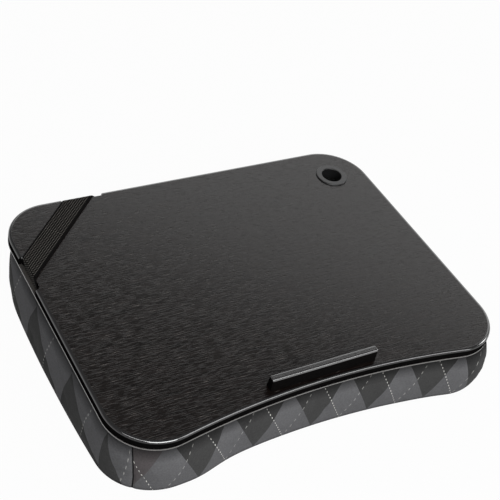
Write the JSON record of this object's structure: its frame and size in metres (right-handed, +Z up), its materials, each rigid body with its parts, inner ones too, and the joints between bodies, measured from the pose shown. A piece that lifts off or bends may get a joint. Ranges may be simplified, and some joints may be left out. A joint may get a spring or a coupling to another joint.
{
  "type": "lap tray with cushion",
  "caption": "Lap tray: black wood-grain board with a concave front, device ledge, elastic corner strap and cable grommet, on a boxed bead cushion in grey argyle fabric.",
  "frame": {"origin": "middle of the cushion's underside, on the surface that the tray rests on", "axes": "+X to the user's right along the tray's width, +Y from the user to the back edge, +Z up"},
  "size_m": [0.4646, 0.3462, 0.0875],
  "materials": {
    "board_lacquer": "fibreboard edge sprayed with black lacquer, glossy",
    "wood_grain": "black open-pore wood-grain sheet, satin",
    "backing_board": "thin hardboard, dark grey",
    "satin_plastic": "moulded, satin",
    "gloss_black_plastic": "moulded, glossy",
    "fastener_steel": "zinc plated",
    "elastic_webbing": "woven elastic, matte",
    "argyle_fabric": "printed woven polyester with an argyle pattern",
    "base_fabric": "plain woven polyester",
    "bead_bag_fabric": "thin liner bag filled with polystyrene beads"
  },
  "bodies": {
    "tray": {"tray_board": "board_lacquer", "wood_grain_sheet": "wood_grain", "backing_panel": "backing_board", "cable_grommet": "satin_plastic", "device_ledge": "gloss_black_plastic", "ledge_screws": "fastener_steel", "panel_screws": "fastener_steel", "strap_staples": "fastener_steel", "cover_staples": "fastener_steel", "cover_front_panel": "argyle_fabric", "cover_left_panel": "argyle_fabric", "cover_right_panel": "argyle_fabric", "cover_back_panel": "argyle_fabric", "cover_base_panel": "base_fabric", "left_bolster": "bead_bag_fabric", "right_bolster": "bead_bag_fabric"},
    "strap": {"elastic_strap": "elastic_webbing"}
  },
  "joints": [
    {"name": "strap_lift", "type": "slide", "parent": "tray", "child": "strap", "axis": [0, 0, 1], "range_m": [0, 0.02], "stiffness_N_per_m": 200, "deforming": ["elastic_strap"]}
  ]
}
